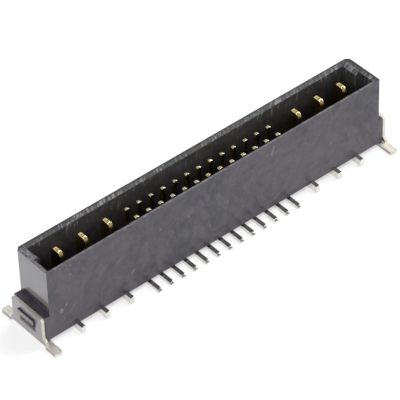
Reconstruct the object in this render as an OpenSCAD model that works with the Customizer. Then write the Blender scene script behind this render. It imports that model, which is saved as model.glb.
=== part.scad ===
// Shrouded surface-mount pin header with signal pins, power blades and hold-down brackets.
// X runs along the header, +Y is the side with the cut corners, and Z is up from the board at zero.
// All sizes are in millimetres.

/* [Signal contacts] */
// Signal positions in each of the two rows
signal_count = 13; // [3:1:20]
// Distance between neighbouring signal contacts
signal_pitch = 1.27; // [1:0.01:2]
// Distance between the two rows
row_pitch = 1.27; // [1:0.01:1.6]
// Width of a pin along the header
pin_w = 0.4; // [0.3:0.01:0.5]
// Thickness of the strip that the pins are bent from
pin_t = 0.3; // [0.2:0.01:0.4]
// Height of the pin tips above the board
pin_tip_z = 6.6; // [5:0.05:7.4]
// Radius along the two sides of the pin's tip
pin_tip_round = 0.13; // [0.05:0.01:0.14]
// Bevel across the front and the back of the pin's tip
pin_tip_bevel = 0.05; // [0.02:0.01:0.09]
// Width of the shank that is pressed into the floor
shank_w = 0.6; // [0.5:0.01:0.8]
// Inner radius of the bend above the solder tail
tail_bend_r = 0.1; // [0.05:0.01:0.2]
// Distance from the middle plane to the end of a solder tail
tail_reach = 3.35; // [2.8:0.05:4]
// Bevel across the toe of a solder tail
tail_toe = 0.15; // [0.05:0.01:0.18]

/* [Power contacts] */
// Power blades at each end
power_count = 3; // [1:1:4]
// Distance between neighbouring blades
power_pitch = 2.54; // [2:0.01:3.5]
// Distance from the last signal contact to the first blade
power_gap = 2.54; // [2:0.01:4]
// Thickness of the sheet that the blades are stamped from
blade_t = 0.4; // [0.36:0.01:0.7]
// Width of a blade across the header
blade_w = 1.25; // [1:0.05:1.5]
// Height of the blade tips above the board
blade_tip_z = 7.25; // [6:0.05:7.5]
// Length of the tapered blade tip
blade_taper = 0.42; // [0.2:0.02:0.8]
// Width of the flat at the blade tip
blade_tip_flat = 0.62; // [0.4:0.02:0.8]
// Radius along the two faces of the blade tip
blade_tip_round = 0.13; // [0.05:0.01:0.17]
// Width of the blade's shank in the floor
blade_shank_w = 1.75; // [1.6:0.05:2]
// Distance from the middle plane to the end of a power foot
foot_reach = 2.85; // [2.5:0.05:3.5]
// Height of a power foot
foot_h = 0.68; // [0.5:0.02:0.9]
// Height of the arch between the two feet of a blade
foot_arch = 0.2; // [0.1:0.02:0.3]

/* [Housing] */
// Width of the shroud
housing_w = 4; // [3.8:0.05:5]
// Height of the shroud's rim above the board
rim_z = 7.6; // [7.3:0.05:9]
// Height of the cavity floor above the board
floor_z = 1.8; // [1.5:0.05:2.5]
// Thickness of the two long walls
wall = 0.4; // [0.35:0.01:0.6]
// Lead-in bevel along the long walls
lead_in = 0.26; // [0.1:0.01:0.32]
// Distance from the last blade to the end face
end_reach = 2.66; // [2.2:0.02:4]
// Thickness of the end walls
end_wall = 0.45; // [0.4:0.01:0.9]
// Lead-in bevel along the end walls
end_lead_in = 0.22; // [0.1:0.01:0.35]
// How far each polarising key stands out of its end wall
key_depth = 0.45; // [0.3:0.01:0.8]
// Lead-in bevel along the top of a key
key_lead_in = 0.32; // [0.1:0.02:0.5]
// Where the keys start, from the middle plane towards the back
key_start = 0; // [-0.5:0.05:0.5]
// Cut across the two upright corners at the back
corner_cut = 0.3; // [0.1:0.01:0.5]

/* [End bosses] */
// How far each boss stands out of its end face
boss_depth = 0.5; // [0.4:0.01:0.9]
// Height of the boss's top above the board
boss_z = 2.95; // [2.6:0.05:3.5]
// Bevel along the boss's lower outer edge
boss_bevel = 0.25; // [0.22:0.01:0.35]
// Width of the snap nose that holds the bracket
nose_w = 2.1; // [1:0.05:2.6]
// Height of the nose's flat top above the board
nose_top = 2.3; // [2:0.02:2.4]
// Height of the nose from its flat top to the foot of its ramp
nose_h = 1.25; // [0.8:0.05:1.35]
// How far the nose stands out past the bracket
nose_catch = 0.18; // [0.1:0.01:0.3]
// Height of the nose's upright outer edge
nose_edge = 0.45; // [0.2:0.05:0.7]

/* [Hold-down brackets] */
// Thickness of the bracket's sheet
sheet_t = 0.3; // [0.2:0.01:0.4]
// Inner radius of the bracket's bend
sheet_bend_r = 0.12; // [0.05:0.01:0.2]
// Width of the bracket's upright plate
plate_w = 3.9; // [3.4:0.05:4.2]
// Width of the plate's base, where it flares out above its feet
base_w = 4.5; // [4.3:0.05:5]
// Height of the base
base_h = 0.6; // [0.45:0.05:0.8]
// Distance from the middle plane to the end of a bracket's foot
bracket_reach = 3.6; // [3:0.05:4.5]
// Width of a bracket's foot along the header
bracket_foot_w = 0.75; // [0.65:0.05:0.75]
// Cut across the corners of the sheet
sheet_corner = 0.12; // [0.05:0.01:0.2]

/* [Fits] */
// Clearance on each side of a contact in its slot
slot_fit = 0.02; // [0.01:0.01:0.05]
// Clearance between a bracket and its boss, and round the snap nose
bracket_fit = 0.03; // [0.01:0.01:0.08]
// Clearance between the housing's underside and what runs below it
under_fit = 0.05; // [0.02:0.01:0.2]

/* [Hidden] */
$fn = 48;
past = 1;
signal_half = (signal_count - 1) / 2 * signal_pitch;
power_first = signal_half + power_gap;
power_last = power_first + (power_count - 1) * power_pitch;
housing_l = 2 * (power_last + end_reach);
cavity_w = housing_w - 2 * wall;
cavity_l = housing_l - 2 * end_wall;
tail_bend_h = pin_t + tail_bend_r;
underside_z = max(tail_bend_h, sheet_t) + under_fit;
shank_step = (shank_w - pin_w) / 2;
shank_low = underside_z + shank_step;
shank_high = floor_z - shank_step;
blade_step = (blade_shank_w - blade_w) / 2;
boss_x = housing_l / 2 + boss_depth;
plate_x = boss_x + bracket_fit;
plate_out = plate_x + sheet_t;
nose_out = plate_out + nose_catch;
foot_in = plate_out - bracket_foot_w;
window_w = nose_w + 2 * bracket_fit;
flare = (base_w - plate_w) / 2;

power_total = 2 * power_count;
signal_positions = [1 : signal_count];
power_positions = [1 : power_total];
sides = [-1, 1];

function signal_x(i) = (i - 1) * signal_pitch - signal_half;
function power_x(i) = i <= power_count
    ? (i - 1) * power_pitch - power_last
    : (i - power_total) * power_pitch + power_last;

// A sketch of the view from the end, in Y and Z, given a depth along the header
module end_view(depth) {
    rotate([90, 0, 90])
        linear_extrude(depth, center = true)
            children();
}

// A sketch of the view from the front, in X and Z, given a depth across the header
module front_view(depth) {
    rotate([90, 0, 0])
        linear_extrude(depth, center = true)
            children();
}

module both_ends() {
    for (side = sides)
        on_side(side)
            children();
}

// The shape as drawn for +X, or its mirror image for -X
module on_side(side) {
    if (side > 0)
        children();
    else
        mirror([1, 0, 0])
            children();
}

module housing() {
    color("#2e2d33")
        difference() {
            union() {
                shroud_block();
                both_ends() end_boss();
            }
            difference() {
                cavity();
                both_ends() key();
            }
            for (i = signal_positions, side = sides)
                signal_slot(signal_x(i), side);
            for (i = power_positions)
                power_slot(power_x(i));
        }
}

module shroud_block() {
    l = housing_l / 2;
    w = housing_w / 2;
    c = corner_cut;
    translate([0, 0, underside_z])
        linear_extrude(rim_z - underside_z)
            polygon([[-l, -w], [l, -w], [l, w - c], [l - c, w], [c - l, w], [-l, w - c]]);
}

// The cavity's outline in one view, with its lead-in bevels
module cavity_outline(size, bevel) {
    s = size / 2;
    polygon([
        [-s, floor_z], [s, floor_z],
        [s, rim_z - bevel], [s + bevel, rim_z], [s + bevel, rim_z + past],
        [-s - bevel, rim_z + past], [-s - bevel, rim_z], [-s, rim_z - bevel]]);
}

// The two outlines meet in mitred corners
module cavity() {
    intersection() {
        end_view(housing_l) cavity_outline(cavity_w, lead_in);
        front_view(housing_w) cavity_outline(cavity_l, end_lead_in);
    }
}

// Half-width key on the right end wall, with a bevel that guides the mating plug in
module key() {
    x_in = cavity_l / 2 - key_depth;
    x_out = cavity_l / 2 + end_lead_in + past;
    depth = cavity_w / 2 - key_start;
    translate([0, key_start + depth / 2, 0])
        front_view(depth)
            polygon([
                [x_in, floor_z - past], [x_out, floor_z - past], [x_out, rim_z],
                [x_in + key_lead_in, rim_z], [x_in, rim_z - key_lead_in]]);
}

module signal_slot(x, side) {
    translate([x, side * row_pitch / 2, floor_z / 2])
        cube([shank_w + 2 * slot_fit, pin_t + 2 * slot_fit, floor_z + 2 * past], center = true);
}

// A slot in the floor for the shank, and a groove across the underside for the feet
module power_slot(x) {
    shank = blade_shank_w / 2 + slot_fit;
    w = housing_w / 2 + past;
    groove = foot_h + slot_fit;
    translate([x, 0, 0])
        end_view(blade_t + 2 * slot_fit)
            polygon([
                [-w, -past], [w, -past], [w, groove], [shank, groove],
                [shank, floor_z + past], [-shank, floor_z + past], [-shank, groove], [-w, groove]]);
}

// The boss and snap nose on the right end
module end_boss() {
    root = housing_l / 2 - corner_cut;
    front_view(housing_w)
        polygon([
            [root, underside_z], [boss_x - boss_bevel, underside_z],
            [boss_x, underside_z + boss_bevel], [boss_x, boss_z], [root, boss_z]]);
    front_view(nose_w)
        polygon([
            [root, nose_top - nose_h], [boss_x, nose_top - nose_h],
            [nose_out, nose_top - nose_edge], [nose_out, nose_top], [root, nose_top]]);
}

// Sheet-metal bracket: an upright plate, folded inwards at the board into a strip with two feet
module hold_down(side) {
    color("#cfcabd")
        on_side(side) {
            difference() {
                intersection() {
                    front_view(base_w) bracket_fold();
                    end_view(2 * (plate_out + past)) plate_outline();
                }
                bracket_window();
            }
            linear_extrude(sheet_t) foot_outline();
        }
}

// The plate and the quarter bend below it
module bracket_fold() {
    bend_x = plate_x - sheet_bend_r;
    bend_z = sheet_t + sheet_bend_r;
    translate([plate_x, bend_z])
        square([sheet_t, boss_z - bend_z]);
    intersection() {
        translate([bend_x, bend_z])
            difference() {
                circle(sheet_bend_r + sheet_t);
                circle(sheet_bend_r);
            }
        translate([bend_x, 0])
            square([sheet_bend_r + sheet_t, bend_z]);
    }
}

module plate_outline() {
    w = plate_w / 2;
    b = base_w / 2;
    c = sheet_corner;
    polygon([
        [-b, 0], [b, 0], [b, base_h], [w, base_h + flare],
        [w, boss_z - c], [w - c, boss_z], [c - w, boss_z], [-w, boss_z - c],
        [-w, base_h + flare], [-b, base_h]]);
}

module bracket_window() {
    low = nose_top - nose_h - bracket_fit;
    high = nose_top + bracket_fit;
    translate([plate_x - past, -window_w / 2, low])
        cube([sheet_t + 2 * past, window_w, high - low]);
}

// The strip under the boss, which widens into a foot at the front and at the back
module foot_outline() {
    bend_x = plate_x - sheet_bend_r;
    r = bracket_reach;
    b = base_w / 2;
    c = sheet_corner;
    polygon([
        [foot_in, c - r], [foot_in + c, -r], [plate_out - c, -r], [plate_out, c - r],
        [plate_out, -b], [bend_x, -b], [bend_x, b], [plate_out, b],
        [plate_out, r - c], [plate_out - c, r], [foot_in + c, r], [foot_in, r - c]]);
}

// An upright bar from the board to its tip, with its two top edges coined round
module coined_bar(width, top, r) {
    w = width / 2;
    translate([-w, 0])
        square([width, top - r]);
    translate([r - w, 0])
        square([width - 2 * r, top]);
    for (side = sides)
        translate([side * (w - r), top - r])
            circle(r);
}

// Flat stamping: a blade above the floor, and two feet on edge below it
module power_contact(x) {
    color("#d9b45a")
        translate([x, 0, 0])
            intersection() {
                end_view(blade_t) blade_outline();
                front_view(2 * (foot_reach + past)) coined_bar(blade_t, blade_tip_z, blade_tip_round);
            }
}

module blade_outline() {
    tip = blade_tip_flat / 2;
    w = blade_w / 2;
    s = blade_shank_w / 2;
    f = foot_reach;
    arch = housing_w / 2 - wall;
    top = floor_z - blade_step;
    polygon([
        [-f, 0], [-arch, 0], [foot_arch - arch, foot_arch], [arch - foot_arch, foot_arch], [arch, 0],
        [f, 0], [f, foot_h], [s, foot_h], [s, top], [w, floor_z],
        [w, blade_tip_z - blade_taper], [tip, blade_tip_z], [-tip, blade_tip_z],
        [-w, blade_tip_z - blade_taper], [-w, floor_z], [-s, top], [-s, foot_h], [-f, foot_h]]);
}

// Bent strip: a pin with a coined tip, a wider shank in the floor, and a solder tail that runs outwards
module signal_contact(x, side) {
    color("#d9b45a")
        translate([x, 0, 0])
            mirror([0, side < 0 ? 1 : 0, 0])
                intersection() {
                    end_view(shank_w + past) pin_side_outline();
                    front_view(2 * (tail_reach + past)) pin_front_outline();
                }
}

module pin_side_outline() {
    y = row_pitch / 2;
    t = pin_t / 2;
    tip = t - pin_tip_bevel;
    bend_y = y + t + tail_bend_r;
    polygon([
        [y - t, tail_bend_h], [y + t, tail_bend_h], [y + t, pin_tip_z - pin_tip_bevel],
        [y + tip, pin_tip_z], [y - tip, pin_tip_z], [y - t, pin_tip_z - pin_tip_bevel]]);
    intersection() {
        translate([bend_y, tail_bend_h])
            difference() {
                circle(tail_bend_h);
                circle(tail_bend_r);
            }
        translate([y - t, 0])
            square(tail_bend_h);
    }
    polygon([
        [bend_y, 0], [tail_reach, 0], [tail_reach, pin_t - tail_toe],
        [tail_reach - tail_toe, pin_t], [bend_y, pin_t]]);
}

module pin_front_outline() {
    w = pin_w / 2;
    s = shank_w / 2;
    coined_bar(pin_w, pin_tip_z, pin_tip_round);
    polygon([
        [-w, underside_z], [w, underside_z], [s, shank_low], [s, shank_high], [w, floor_z],
        [-w, floor_z], [-s, shank_high], [-s, shank_low]]);
}

housing();
hold_down(-1);  // hold_down_left
hold_down(1);  // hold_down_right
for (i = power_positions)
    power_contact(power_x(i));
for (i = signal_positions) {
    signal_contact(signal_x(i), -1);
    signal_contact(signal_x(i), 1);
}
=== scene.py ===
import math

import bpy
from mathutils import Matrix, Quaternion, Vector


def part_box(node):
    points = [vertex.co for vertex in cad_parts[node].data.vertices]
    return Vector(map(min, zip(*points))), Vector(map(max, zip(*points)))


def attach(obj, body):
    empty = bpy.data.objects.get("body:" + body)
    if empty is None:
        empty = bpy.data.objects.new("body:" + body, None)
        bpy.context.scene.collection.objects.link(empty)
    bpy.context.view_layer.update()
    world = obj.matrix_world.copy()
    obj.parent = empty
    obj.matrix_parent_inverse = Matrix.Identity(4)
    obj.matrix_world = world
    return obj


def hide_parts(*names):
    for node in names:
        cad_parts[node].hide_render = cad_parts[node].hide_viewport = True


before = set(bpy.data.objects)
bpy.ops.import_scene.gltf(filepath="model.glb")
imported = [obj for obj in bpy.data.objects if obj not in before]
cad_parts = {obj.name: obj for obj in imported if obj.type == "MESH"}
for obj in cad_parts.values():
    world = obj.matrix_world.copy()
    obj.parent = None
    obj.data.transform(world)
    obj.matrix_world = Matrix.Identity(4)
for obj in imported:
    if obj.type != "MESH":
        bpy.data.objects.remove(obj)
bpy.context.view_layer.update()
mm = 0.001
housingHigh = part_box("housing")[1]  # its highest corner, which its finish follows
print("frame loaded:", len(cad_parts), "nodes")


# camera, with angles in degrees

shot = {
    "azimuth": -39,
    "elevation": 42,
    "roll": -2,
    "distance": 236 * mm,
    "lens": 256,
    "target": (-0.25 * mm, 0.25 * mm, 3.3 * mm),
    "clipFrom": 1 * mm,
}


def addCamera(shot):
    azimuth = math.radians(shot["azimuth"])
    elevation = math.radians(shot["elevation"])
    back = Vector((
        math.sin(azimuth) * math.cos(elevation),
        -math.cos(azimuth) * math.cos(elevation),
        math.sin(elevation),
    ))
    bpy.ops.object.select_all(action="DESELECT")
    bpy.ops.object.camera_add(location=Vector(shot["target"]) + back * shot["distance"])
    camera = bpy.context.object
    aim = (-back).to_track_quat("-Z", "Y")
    roll = Quaternion((0, 0, 1), math.radians(shot["roll"]))
    camera.rotation_euler = (aim @ roll).to_euler()
    camera.data.lens = shot["lens"]
    camera.data.clip_start = shot["clipFrom"]
    bpy.context.scene.camera = camera


addCamera(shot)
print("camera placed")


# small helpers for shader trees

def feed(tree, socket, value):
    if isinstance(value, bpy.types.NodeSocket):
        tree.links.new(value, socket)
    else:
        socket.default_value = value


def place(tree, kind, inputs=None, **settings):
    node = tree.nodes.new(kind)
    for key, value in settings.items():
        setattr(node, key, value)
    for label, value in (inputs or {}).items():
        feed(tree, node.inputs[label], value)
    return node


def newMaterial(name):
    material = bpy.data.materials.new(name)
    material.use_nodes = True
    tree = material.node_tree
    return material, tree, tree.nodes["Principled BSDF"]


def combine(tree, operation, a, b):
    return place(tree, "ShaderNodeMath", {0: a, 1: b}, operation=operation).outputs[0]


def times(tree, a, b):
    return combine(tree, "MULTIPLY", a, b)


def plus(tree, a, b):
    return combine(tree, "ADD", a, b)


def larger(tree, a, b):
    return combine(tree, "MAXIMUM", a, b)


def absolute(tree, value):
    return place(tree, "ShaderNodeMath", {0: value}, operation="ABSOLUTE").outputs[0]


def ramp(tree, value, low, high, toLow=0.0, toHigh=1.0):
    inputs = {"Value": value, "From Min": low, "From Max": high, "To Min": toLow, "To Max": toHigh}
    return place(tree, "ShaderNodeMapRange", inputs, interpolation_type="SMOOTHSTEP").outputs["Result"]


def mixValues(tree, factor, a, b):
    return place(tree, "ShaderNodeMix", {"Factor": factor, "A": a, "B": b}).outputs["Result"]


def mixColours(tree, factor, a, b):
    node = place(tree, "ShaderNodeMix", data_type="RGBA")
    sockets = {socket.identifier: socket for socket in node.inputs}
    feed(tree, sockets["Factor_Float"], factor)
    feed(tree, sockets["A_Color"], a)
    feed(tree, sockets["B_Color"], b)
    return next(socket for socket in node.outputs if socket.identifier == "Result_Color")


# lays one colour over another where the mask is
def cover(tree, under, over, mask, strength):
    return mixColours(tree, times(tree, mask, strength), under, over)


def split(tree, vector):
    return place(tree, "ShaderNodeSeparateXYZ", {"Vector": vector}).outputs


def surfacePlace(tree):
    return place(tree, "ShaderNodeTexCoord").outputs["Object"]


def surfaceNormal(tree):
    return place(tree, "ShaderNodeNewGeometry").outputs["Normal"]


# coordinates in marks: a mark has this size in millimetres along its own turned axes
def marks(tree, turn=(0, 0, 0), size=(1, 1, 1)):
    inputs = {"Vector": surfacePlace(tree), "Rotation": turn, "Scale": [s * mm for s in size]}
    return place(tree, "ShaderNodeMapping", inputs, vector_type="TEXTURE").outputs["Vector"]


def noise(tree, vector, scale=1, detail=2, roughness=0.5, distortion=0):
    inputs = {"Vector": vector, "Scale": scale, "Detail": detail}
    inputs.update({"Roughness": roughness, "Distortion": distortion})
    return place(tree, "ShaderNodeTexNoise", inputs).outputs["Fac"]


def addBump(tree, surface, height, look):
    inputs = {"Strength": look["bump"], "Distance": look["bumpDepth"], "Height": height}
    bump = place(tree, "ShaderNodeBump", inputs)
    tree.links.new(bump.outputs["Normal"], surface.inputs["Normal"])


# effects that more than one finish uses: each reads a place on the surface and puts out masks

effects = {
    "patchLevels": (0.3, 0.7),
    "grainLevels": (0.25, 0.75),
    "scratchLevel": 0.75,
    "scratchBlur": 0.08,
    "edgeSamples": 6,
    "edgeLevels": (0.99, 0.8),
    "breakupLevels": (0.35, 0.65),
}


def newGroup(name, values, masks):
    group = bpy.data.node_groups.new(name, "ShaderNodeTree")
    group.interface.new_socket("Vector", in_out="INPUT", socket_type="NodeSocketVector")
    for label, value in values.items():
        socket = group.interface.new_socket(label, in_out="INPUT", socket_type="NodeSocketFloat")
        socket.default_value = value
    for label in masks:
        group.interface.new_socket(label, in_out="OUTPUT", socket_type="NodeSocketFloat")
    return group, group.nodes.new("NodeGroupInput").outputs, group.nodes.new("NodeGroupOutput").inputs


def useGroup(tree, group, **inputs):
    return place(tree, "ShaderNodeGroup", inputs, node_tree=group).outputs


def makeMottle(look):
    group, given, out = newGroup("mottle", {"Patches": 0.4, "Grain": 12}, ["Patches", "Grain"])
    broad = noise(group, given["Vector"], given["Patches"], detail=5, roughness=0.7, distortion=0.8)
    fine = noise(group, given["Vector"], given["Grain"], detail=3, roughness=0.7)
    group.links.new(ramp(group, broad, *look["patchLevels"]), out["Patches"])
    group.links.new(ramp(group, fine, *look["grainLevels"]), out["Grain"])
    return group


def makeScratches(look):
    group, given, out = newGroup("scratches", {"Scale": 1, "Share": 0.1}, ["Mask"])
    lines = noise(group, given["Vector"], given["Scale"], detail=2, roughness=0.55, distortion=0.3)
    level = combine(group, "SUBTRACT", look["scratchLevel"], given["Share"])
    above = combine(group, "SUBTRACT", lines, level)
    group.links.new(ramp(group, above, 0, look["scratchBlur"]), out["Mask"])
    return group


def makeEdgeWear(look):
    group, given, out = newGroup("edgeWear", {"Radius": 0.05 * mm, "Breakup": 3}, ["Mask"])
    rounded = place(group, "ShaderNodeBevel", {"Radius": given["Radius"]}, samples=look["edgeSamples"])
    flat = place(group, "ShaderNodeNewGeometry")
    normals = {0: rounded.outputs["Normal"], 1: flat.outputs["True Normal"]}
    agree = place(group, "ShaderNodeVectorMath", normals, operation="DOT_PRODUCT").outputs["Value"]
    edge = ramp(group, agree, *look["edgeLevels"])
    breakup = noise(group, given["Vector"], given["Breakup"], detail=4, roughness=0.6)
    worn = ramp(group, breakup, *look["breakupLevels"])
    group.links.new(times(group, edge, worn), out["Mask"])
    return group


mottle = makeMottle(effects)
scratches = makeScratches(effects)
edgeWear = makeEdgeWear(effects)
print("shared effects made")


def wornEdges(tree, look):
    inputs = {"Vector": marks(tree), "Radius": look["wearRadius"], "Breakup": look["wearBreakup"]}
    return useGroup(tree, edgeWear, **inputs)["Mask"]


# black moulded plastic: sizes of marks in millimetres, leans in radians
# a mark fades in between its two levels, and its strength is how far it hides what is under it

plastic = {
    # colours
    "bluish": (0, 0.003, 0.0115, 1),
    "pinkish": (0.038, 0.026, 0.036, 1),
    "streak": (0.074, 0.076, 0.086, 1),
    # the scuff colour is also the painted highlight on the rim's top
    "scuffAndHighlight": (0.22, 0.21, 0.22, 1),
    # the next four colours are painted shade: deep in the cavity, higher up its walls, on the lead-in
    # slope, and on the rim along the back wall and the right end
    "deepShade": (0.006, 0.005, 0.0035, 1),
    "cavity": (0.055, 0.055, 0.054, 1),
    "funnelShade": (0.034, 0.037, 0.034, 1),
    "shaded": (0.001, 0.005, 0.001, 1),
    # skin: patches, blotches and grains for each millimetre
    "patches": 0.15,
    "blotches": 0.75,
    "blotchShare": 0.35,
    "grain": 14,
    # melt flow
    "stroke": (0.7, 0.7, 1.5),
    "strokeLevels": (0.4, 0.75),
    "leans": (0.3, -0.5, 1.1),
    "leanPatch": (4, 4, 3),
    "leanLevels": (0.45, 0.55),
    "flowStrength": 0.7,
    # nicks and worn edges
    "nick": (0.45, 0.45, 0.95),
    "nickLean": 0.5,
    "nickShare": 0.07,
    "nickStrength": 0.45,
    "wearRadius": 0.06 * mm,
    "wearBreakup": 2.5,
    "wearStrength": 0.4,
    # lead-in: painted shade on its slope, and scuffs from plugs
    "leadIn": 0.34 * mm,
    "leadInBlur": 0.04 * mm,
    "sloping": (0.2, 0.55),
    "level": (0.8, 0.95),
    "funnelShadeStrength": 0.8,
    "rub": (0.22, 0.9),
    "rubLean": 0.35,
    "rubShare": 0.22,
    "rubPatches": 0.2,
    "rubLevels": (0.3, 0.55),
    "rubStrength": (0.15, 0.9),
    "endwise": (0.3, 0.5),
    # cavity walls: painted shade, near black deep down and grey higher up
    "inside": (17.7 * mm, 1.75 * mm),
    "upright": (0.2, 0.6),
    "cavityStrength": 0.85,
    "deepShadeTo": 4.4 * mm,
    "raggedBy": 1.6 * mm,
    "rubbedFrom": 4.2 * mm,
    "wallLine": (0.2, 0.2, 1.2),
    "wallLineLean": 0.12,
    "wallLineShare": 0.16,
    "fringe": 0.8 * mm,
    "fringeStrength": (0.35, 0.9),
    # rim: painted highlight on its top, and painted shade on it along the back wall and the right end
    "paleRim": 0.05 * mm,
    "paleBlur": 0.015 * mm,
    "palePatches": 2.2,
    "paleLevels": (0.36, 0.66),
    "paleStrength": (0.05, 0.55),
    "rimFade": (0.4 * mm, 0.2 * mm),
    # gloss
    "gloss": 0.8,
    "glossTint": (0.95, 0.925, 1, 1),
    "rough": (0.46, 0.2),
    "roughFlow": (-0.05, 0.05),
    "flowLevels": (0.2, 0.8),
    "roughTint": (0.06, -0.06),
    "roughScuff": 0.3,
    "squareOn": (0.8, 0.95),
    "endGloss": 1.65,
    "endGlossRough": 0.1,
    # relief
    "grainHeight": 0.25,
    "flowHeight": 0.6,
    "bump": 0.5,
    "bumpDepth": 0.008 * mm,
}


# melt flow left short strokes, which lean another way from place to place
def meltFlow(tree, look):
    flow = None
    for lean in look["leans"]:
        along = marks(tree, (0, lean, 0), look["stroke"])
        stroke = noise(tree, along, detail=4, roughness=0.62, distortion=0.7)
        stroke = ramp(tree, stroke, *look["strokeLevels"])
        if flow is None:
            flow = stroke
            continue
        where = noise(tree, marks(tree, (lean, lean, 0), look["leanPatch"]))
        flow = mixValues(tree, ramp(tree, where, *look["leanLevels"]), flow, stroke)
    return flow


# plugs have scuffed the lead-in, across its length
def leadInRubs(tree, look, sideways):
    across, reach = look["rub"]
    wallMarks = marks(tree, (0, look["rubLean"], 0), (across, reach, reach))
    endMarks = marks(tree, (look["rubLean"], 0, 0), (reach, across, reach))
    onWalls = useGroup(tree, scratches, Vector=wallMarks, Share=look["rubShare"])["Mask"]
    onEnds = useGroup(tree, scratches, Vector=endMarks, Share=look["rubShare"])["Mask"]
    rubs = mixValues(tree, ramp(tree, sideways, *look["endwise"]), onWalls, onEnds)
    often = noise(tree, marks(tree), look["rubPatches"])
    return times(tree, rubs, ramp(tree, often, *look["rubLevels"], *look["rubStrength"]))


# plugs have left lines down the inner walls, strongest near the rim
def wallLines(tree, look, height, rim):
    along = marks(tree, (0, look["wallLineLean"], 0), look["wallLine"])
    lines = useGroup(tree, scratches, Vector=along, Share=look["wallLineShare"])["Mask"]
    lines = times(tree, ramp(tree, height, look["rubbedFrom"], rim), lines)
    fringe = ramp(tree, height, rim - look["fringe"], rim, *look["fringeStrength"])
    return times(tree, lines, fringe)


# the top of the rim, and where it gets painted shade instead of the painted highlight: along the back
# wall and the right end
def rimMasks(tree, look, at):
    paleFrom = housingHigh.z - look["paleRim"]
    onTop = ramp(tree, at["Z"], paleFrom, paleFrom + look["paleBlur"])
    fadeFrom, fadeTo = look["rimFade"]
    endFrom = look["inside"][0]
    backWall = ramp(tree, at["Y"], housingHigh.y - fadeFrom, housingHigh.y - fadeTo)
    rightEnd = ramp(tree, at["X"], endFrom - fadeFrom, endFrom - fadeTo)
    return onTop, larger(tree, backWall, rightEnd)


def makePlastic(look):
    material, tree, surface = newMaterial("mouldedPlastic")
    spot = marks(tree)
    at = split(tree, surfacePlace(tree))
    facing = split(tree, surfaceNormal(tree))
    sideways = absolute(tree, facing["X"])
    skin = useGroup(tree, mottle, Vector=spot, Patches=look["patches"], Grain=look["grain"])
    blotches = useGroup(tree, mottle, Vector=spot, Patches=look["blotches"])["Patches"]
    tint = mixValues(tree, look["blotchShare"], skin["Patches"], blotches)
    flow = meltFlow(tree, look)
    nickMarks = marks(tree, (0, look["nickLean"], 0), look["nick"])
    nicks = useGroup(tree, scratches, Vector=nickMarks, Share=look["nickShare"])["Mask"]

    # the lead-in slopes down into the cavity
    rim = housingHigh.z - look["leadIn"]
    nearRim = ramp(tree, at["Z"], rim, rim + look["leadInBlur"])
    slope = ramp(tree, facing["Z"], *look["sloping"])
    slope = times(tree, slope, ramp(tree, facing["Z"], *look["level"], 1, 0))
    leadIn = times(tree, nearRim, slope)
    # the cavity's walls are what stands upright inside
    reachX, reachY = look["inside"]
    alongX = absolute(tree, at["X"])
    inside = combine(tree, "LESS_THAN", alongX, reachX)
    inside = times(tree, inside, combine(tree, "LESS_THAN", absolute(tree, at["Y"]), reachY))
    cavity = times(tree, inside, ramp(tree, facing["Z"], *look["upright"], look["cavityStrength"], 0))

    # scuffs from plugs, and a painted highlight on the rim's top, broken up in patches
    scuffsAndRimHighlight = times(tree, leadIn, leadInRubs(tree, look, sideways))
    scuffsAndRimHighlight = larger(tree, scuffsAndRimHighlight, times(tree, inside, wallLines(tree, look, at["Z"], rim)))
    onTop, shadedRim = rimMasks(tree, look, at)
    pale = times(tree, onTop, ramp(tree, shadedRim, 0, 1, 1, 0))
    patchy = noise(tree, spot, look["palePatches"], detail=5, roughness=0.7)
    pale = times(tree, pale, ramp(tree, patchy, *look["paleLevels"], *look["paleStrength"]))
    scuffsAndRimHighlight = larger(tree, scuffsAndRimHighlight, pale)

    colour = mixColours(tree, tint, look["bluish"], look["pinkish"])
    colour = cover(tree, colour, look["streak"], flow, look["flowStrength"])
    colour = cover(tree, colour, look["scuffAndHighlight"], nicks, look["nickStrength"])
    # the inner walls are painted shade: near black deep down and a lighter grey toward the rim, with a
    # ragged border between
    shadeFade = plus(tree, at["Z"], times(tree, blotches, look["raggedBy"]))
    shadeFade = ramp(tree, shadeFade, look["deepShadeTo"], rim + look["raggedBy"])
    walls = mixColours(tree, shadeFade, look["deepShade"], look["cavity"])
    colour = mixColours(tree, cavity, colour, walls)
    # the lead-in slope is painted a flat grey of its own: painted shade
    colour = cover(tree, colour, look["funnelShade"], leadIn, look["funnelShadeStrength"])
    # painted shade on the rim's top along the back wall and the right end
    colour = cover(tree, colour, look["shaded"], onTop, shadedRim)
    # the scuff colour goes on the scuffs and on the rim's painted highlight
    colour = mixColours(tree, scuffsAndRimHighlight, colour, look["scuffAndHighlight"])
    colour = cover(tree, colour, look["scuffAndHighlight"], wornEdges(tree, look), look["wearStrength"])
    tree.links.new(colour, surface.inputs["Base Color"])
    surface.inputs["Specular IOR Level"].default_value = look["gloss"]
    surface.inputs["Specular Tint"].default_value = look["glossTint"]

    # the end faces are smoother than the long walls
    outside = combine(tree, "GREATER_THAN", alongX, reachX)
    polished = times(tree, outside, ramp(tree, sideways, *look["squareOn"]))
    tree.links.new(polished, surface.inputs["Coat Weight"])
    surface.inputs["Coat Roughness"].default_value = look["endGlossRough"]
    surface.inputs["Coat IOR"].default_value = look["endGloss"]
    rough = ramp(tree, sideways, *look["squareOn"], *look["rough"])
    rough = plus(tree, rough, ramp(tree, flow, *look["flowLevels"], *look["roughFlow"]))
    rough = plus(tree, rough, ramp(tree, tint, 0, 1, *look["roughTint"]))
    rough = plus(tree, rough, times(tree, scuffsAndRimHighlight, look["roughScuff"]))
    tree.links.new(rough, surface.inputs["Roughness"])

    height = times(tree, skin["Grain"], look["grainHeight"])
    height = plus(tree, height, times(tree, flow, look["flowHeight"]))
    addBump(tree, surface, combine(tree, "SUBTRACT", height, scuffsAndRimHighlight), look)
    return material


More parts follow.
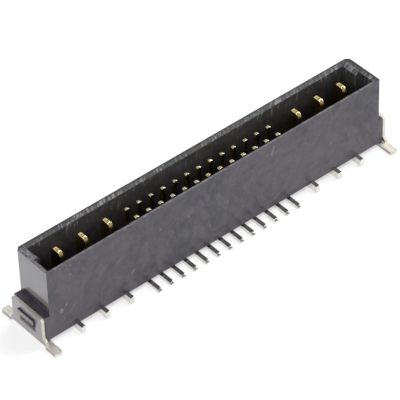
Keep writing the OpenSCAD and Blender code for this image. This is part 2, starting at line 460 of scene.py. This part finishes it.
# both metals have patches, grain, worn edges, and lines from being rolled or drawn
def metalSkin(tree, surface, look):
    skin = useGroup(tree, mottle, Vector=marks(tree), Patches=look["patches"], Grain=look["grain"])
    along = marks(tree, size=look["line"])
    inputs = {"Vector": along, "Scale": look["lineScale"], "Share": look["lineShare"]}
    lines = useGroup(tree, scratches, **inputs)["Mask"]
    shade = times(tree, skin["Patches"], look["patchShade"])
    shade = plus(tree, shade, times(tree, lines, look["lineShade"]))
    height = times(tree, skin["Grain"], look["grainHeight"])
    height = plus(tree, height, times(tree, lines, look["lineHeight"]))
    addBump(tree, surface, height, look)
    surface.inputs["Metallic"].default_value = 1
    rough = ramp(tree, skin["Grain"], 0, 1, *look["rough"])
    return {"patches": skin["Patches"], "shade": shade, "rough": rough, "wear": wornEdges(tree, look)}


# tinned sheet metal

tin = {
    "bright": (0.8, 0.77, 0.7, 1),
    "dull": (0.55, 0.52, 0.48, 1),
    # painted shade and reflection on the faces that point along X
    "rolledFaceShade": (0.36, 0.335, 0.36, 1),
    "patches": 1.3,
    "patchShade": 0.55,
    "grain": 16,
    "rough": (0.49, 0.65),
    "line": (0.17, 2, 0.17),
    "lineScale": 1.5,
    "lineShare": 0.28,
    "lineShade": 0.3,
    "wearRadius": 0.04 * mm,
    "wearBreakup": 4,
    "wearStrength": 0.5,
    "squareOn": (0.75, 0.97),
    "rolledShadeStrength": (1, 0.7),
    "roughRolled": -0.15,
    "grainHeight": 0.5,
    "lineHeight": 0.5,
    "bump": 0.4,
    "bumpDepth": 0.003 * mm,
}


def makeTin(look):
    material, tree, surface = newMaterial("tinnedSheet")
    skin = metalSkin(tree, surface, look)
    colour = mixColours(tree, skin["shade"], look["bright"], look["dull"])
    # the upright plate's rolled faces, which point along X, are painted a duller, darker purple-grey
    # than its cut edges: painted shade and reflection; they are also made smoother
    across = split(tree, surfaceNormal(tree))["X"]
    face = ramp(tree, absolute(tree, across), *look["squareOn"])
    face = times(tree, face, ramp(tree, skin["shade"], 0, 1, *look["rolledShadeStrength"]))
    colour = mixColours(tree, face, colour, look["rolledFaceShade"])
    colour = cover(tree, colour, look["bright"], skin["wear"], look["wearStrength"])
    tree.links.new(colour, surface.inputs["Base Color"])
    rough = plus(tree, skin["rough"], times(tree, face, look["roughRolled"]))
    tree.links.new(rough, surface.inputs["Roughness"])
    return material


# contacts: gold where the plug wipes them, tin on what is soldered

plating = {
    "gold": (0.95, 0.78, 0.4, 1),
    "goldDeep": (0.82, 0.61, 0.23, 1),
    "tin": (0.8, 0.79, 0.76, 1),
    "tinDull": (0.56, 0.54, 0.51, 1),
    "goldFrom": 3.2 * mm,
    "blur": 0.25 * mm,
    "patches": 2.2,
    "patchShade": 0.4,
    "grain": 20,
    "rough": (0.07, 0.16),
    "line": (0.12, 0.12, 1.7),
    "lineScale": 1.5,
    "lineShare": 0.26,
    "lineShade": 0.3,
    "wearRadius": 0.03 * mm,
    "wearBreakup": 6,
    "wearStrength": 0.3,
    "grainHeight": 0.4,
    "lineHeight": 0.5,
    "bump": 0.2,
    "bumpDepth": 0.001 * mm,
}

# the pins have a thinner, paler gold than the blades
palePlating = {**plating, "gold": (0.96, 0.87, 0.62, 1), "goldDeep": (0.86, 0.74, 0.45, 1)}


def makePlating(name, look):
    material, tree, surface = newMaterial(name)
    skin = metalSkin(tree, surface, look)
    line = times(tree, skin["patches"], look["blur"])
    line = plus(tree, split(tree, surfacePlace(tree))["Z"], line)
    gilded = ramp(tree, line, look["goldFrom"], look["goldFrom"] + look["blur"])
    gold = mixColours(tree, skin["shade"], look["gold"], look["goldDeep"])
    tinned = mixColours(tree, skin["shade"], look["tin"], look["tinDull"])
    colour = mixColours(tree, gilded, tinned, gold)
    colour = cover(tree, colour, look["tin"], skin["wear"], look["wearStrength"])
    tree.links.new(colour, surface.inputs["Base Color"])
    tree.links.new(skin["rough"], surface.inputs["Roughness"])
    return material


housingFinish = makePlastic(plastic)
bracketFinish = makeTin(tin)
signalFinish = makePlating("platedPins", palePlating)
powerFinish = makePlating("platedBlades", plating)
print("finishes made")


# pieces: each CAD solid gets merged, rounded edges and its finish, with angles in degrees

stampedEdge = {
    "merge": 0.0005 * mm,
    "flatWithin": 0.5,
    "width": 0.03 * mm,
    "segments": 2,
    "sharper": 25,
    "smooth": 50,
}

mouldedEdge = {**stampedEdge, "width": 0.045 * mm}


def roundedCopy(node, name, edge):
    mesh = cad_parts[node].data.copy()
    piece = bpy.data.objects.new(name, mesh)
    bpy.context.scene.collection.objects.link(piece)
    bpy.ops.object.select_all(action="DESELECT")
    piece.select_set(True)
    bpy.context.view_layer.objects.active = piece
    bpy.ops.mesh.customdata_custom_splitnormals_clear()
    bpy.ops.object.mode_set(mode="EDIT")
    bpy.ops.mesh.select_all(action="SELECT")
    bpy.ops.mesh.remove_doubles(threshold=edge["merge"])
    bpy.ops.mesh.dissolve_limited(angle_limit=math.radians(edge["flatWithin"]))
    bpy.ops.object.mode_set(mode="OBJECT")
    rounding = piece.modifiers.new("rounding", "BEVEL")
    rounding.width = edge["width"]
    rounding.segments = edge["segments"]
    rounding.limit_method = "ANGLE"
    rounding.angle_limit = math.radians(edge["sharper"])
    bpy.ops.object.modifier_apply(modifier=rounding.name)
    bpy.ops.object.shade_smooth_by_angle(angle=math.radians(edge["smooth"]))
    levelling = piece.modifiers.new("levelling", "WEIGHTED_NORMAL")
    levelling.mode = "FACE_AREA_WITH_ANGLE"
    levelling.keep_sharp = True
    bpy.ops.object.modifier_apply(modifier=levelling.name)
    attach(piece, "root")
    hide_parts(node)
    return piece


def dress(piece, finish):
    piece.data.materials.clear()
    piece.data.materials.append(finish)


dress(roundedCopy("housing", "housing_moulding", mouldedEdge), housingFinish)
print("housing finished")

for side in ("left", "right"):
    bracket = roundedCopy(f"hold_down_{side}", f"hold_down_{side}_sheet", stampedEdge)
    dress(bracket, bracketFinish)
print("brackets finished")

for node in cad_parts:
    if node.startswith("power_contact"):
        dress(roundedCopy(node, f"{node}_blade", stampedEdge), powerFinish)
    if node.startswith("signal_contact"):
        dress(roundedCopy(node, f"{node}_pin", stampedEdge), signalFinish)
print("contacts finished")


# stage: pale floor, white surroundings and three soft lamps, in metres

studio = {
    "floorSize": 3,
    "floorDrop": 0.02 * mm,
    "floorColour": (0.9, 0.9, 0.9, 1),
    "floorRough": 0.9,
    "floorLift": 0.5,
    "white": (1, 1, 1, 1),
    "skyForLight": 0.5,
    "paleUpTo": 0.1,
    "dimFrom": 0.6,
    "dimSky": 0.34,
    "tilt": 0.3,
}


def seenDirectly(tree):
    path = place(tree, "ShaderNodeLightPath").outputs
    seen = larger(tree, path["Is Camera Ray"], path["Is Glossy Ray"])
    return larger(tree, seen, path["Is Transmission Ray"])


def addFloor(studio):
    bpy.ops.object.select_all(action="DESELECT")
    bpy.ops.mesh.primitive_plane_add(size=studio["floorSize"], location=(0, 0, -studio["floorDrop"]))
    floor = bpy.context.object
    floor.name = "floor"
    material, tree, surface = newMaterial("paleFloor")
    surface.inputs["Base Color"].default_value = studio["floorColour"]
    surface.inputs["Roughness"].default_value = studio["floorRough"]
    glow = place(tree, "ShaderNodeEmission", {"Color": studio["white"], "Strength": 1})
    lift = times(tree, seenDirectly(tree), studio["floorLift"])
    mix = place(tree, "ShaderNodeMixShader", {0: lift, 1: surface.outputs[0], 2: glow.outputs[0]})
    tree.links.new(mix.outputs[0], tree.nodes["Material Output"].inputs["Surface"])
    floor.data.materials.append(material)


def addSky(studio):
    world = bpy.data.worlds.new("studioSky")
    world.use_nodes = True
    bpy.context.scene.world = world
    tree = world.node_tree
    background = tree.nodes["Background"]
    background.inputs["Color"].default_value = studio["white"]
    # mirrored sky: white near the floor, higher up behind the part than before it, and dim overhead
    path = place(tree, "ShaderNodeLightPath").outputs
    towards = split(tree, place(tree, "ShaderNodeTexCoord").outputs["Generated"])
    height = combine(tree, "SUBTRACT", towards["Z"], times(tree, towards["Y"], studio["tilt"]))
    mirrored = ramp(tree, height, studio["paleUpTo"], studio["dimFrom"], 1, studio["dimSky"])
    strength = mixValues(tree, path["Is Glossy Ray"], studio["skyForLight"], mirrored)
    plain = larger(tree, path["Is Camera Ray"], path["Is Transmission Ray"])
    tree.links.new(larger(tree, strength, plain), background.inputs["Strength"])


# the lamps all face the origin
lamps = {
    "overhead": {"place": (0.229, 0.01, 0.445), "size": 0.18, "watts": 1.2},
    "key": {"place": (-0.26, -0.2, 0.42), "size": 0.3, "watts": 1.6},
    "fill": {"place": (0.4, -0.14, 0.2), "size": 0.3, "watts": 1.0},
}


def addLamp(name, lamp):
    bpy.ops.object.select_all(action="DESELECT")
    bpy.ops.object.light_add(type="AREA", location=lamp["place"])
    light = bpy.context.object
    light.name = name
    light.data.size = lamp["size"]
    light.data.energy = lamp["watts"]
    light.rotation_euler = (-Vector(lamp["place"])).to_track_quat("-Z", "Y").to_euler()


addFloor(studio)
addSky(studio)
for name, lamp in lamps.items():
    addLamp(name, lamp)
bpy.context.scene.view_settings.view_transform = "Standard"
print("stage set")
